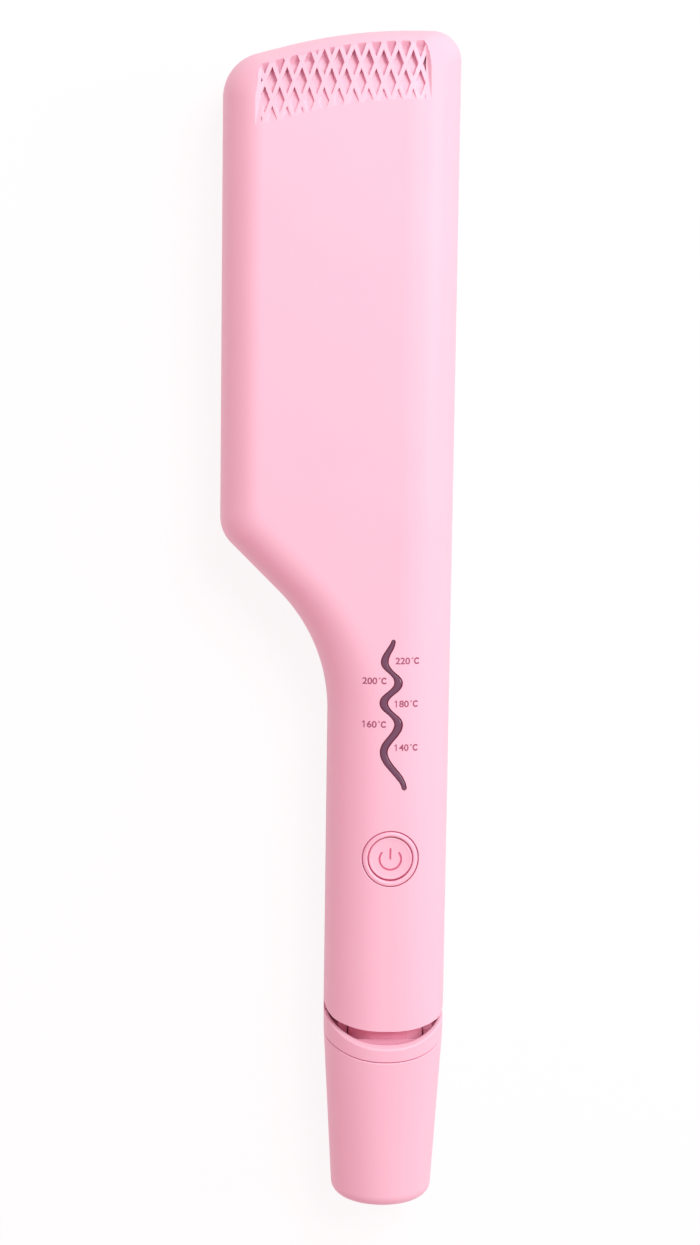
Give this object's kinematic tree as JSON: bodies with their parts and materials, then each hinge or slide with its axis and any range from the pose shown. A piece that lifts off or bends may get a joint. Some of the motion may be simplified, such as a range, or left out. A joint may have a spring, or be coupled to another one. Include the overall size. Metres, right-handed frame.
{
  "type": "hair waver",
  "caption": "Hand-held hair waver: an offset head with two mating wave plates on a hinged clamp handle.",
  "frame": {"origin": "centre of the bounding box on the surface that the tool lies on, its back face down", "axes": "+Y from the base end to the head's tip, +Z out of the front face with the button, +X towards the handle's straight side"},
  "size_m": [0.065, 0.33, 0.036],
  "materials": {
    "soft_pink": "soft-touch satin",
    "button_pink": "soft-touch satin",
    "deep_pink": "satin",
    "steel": "zinc plated",
    "bush_plastic": "natural",
    "insulator": "glass-filled, matte",
    "plate_coating": "ceramic coated, semi-gloss",
    "heater_ceramic": "wrapped in film",
    "board": "solder mask",
    "led": "moulded",
    "smoked_lens": "smoked, polished",
    "switch_black": "moulded",
    "lead_red": "silicone insulation"
  },
  "bodies": {
    "base": {"rear_shell": "soft_pink", "hinge_collar": "soft_pink", "base_cone": "soft_pink", "hinge_pin": "steel", "torsion_spring": "steel", "collar_screws": "steel", "base_screws": "steel", "rear_plate_carrier": "insulator", "rear_wave_plate": "plate_coating", "rear_heater": "heater_ceramic", "thermal_fuse": "steel", "rear_carrier_screws": "steel", "rear_inner_cover": "soft_pink", "rear_leads": "lead_red", "terminal_block": "bush_plastic", "swivel_retainer": "bush_plastic"},
    "front_arm": {"front_shell": "soft_pink", "hinge_frame": "deep_pink", "hinge_bushes": "bush_plastic", "frame_screws": "steel", "front_plate_carrier": "insulator", "front_wave_plate": "plate_coating", "front_heater": "heater_ceramic", "thermistor": "heater_ceramic", "front_carrier_screws": "steel", "front_inner_cover": "soft_pink", "control_board": "board", "board_screws": "steel", "indicator_leds": "led", "indicator_lens": "smoked_lens", "tact_switch": "switch_black", "button_bezel": "soft_pink", "front_leads": "lead_red"},
    "power_button": {"power_button": "button_pink"},
    "cord_swivel": {"cord_gland": "deep_pink"},
    "storage_lock": {"lock_slider": "deep_pink"}
  },
  "joints": [
    {"name": "arm_hinge", "type": "hinge", "parent": "base", "child": "front_arm", "pos_m": [0.01535, -0.108, 0.018], "axis": [1, 0, 0], "range_deg": [0, 10]},
    {"name": "button_press", "type": "slide", "parent": "front_arm", "child": "power_button", "axis": [0, 0, -1], "range_m": [0, 0.0007], "stiffness_N_per_m": 400},
    {"name": "cord_swivel_turn", "type": "hinge", "parent": "base", "child": "cord_swivel", "pos_m": [0.01535, -0.165, 0.018], "axis": [0, 1, 0], "continuous": true},
    {"name": "lock_slide", "type": "slide", "parent": "base", "child": "storage_lock", "axis": [0, 1, 0], "range_m": [0, 0.004]}
  ]
}
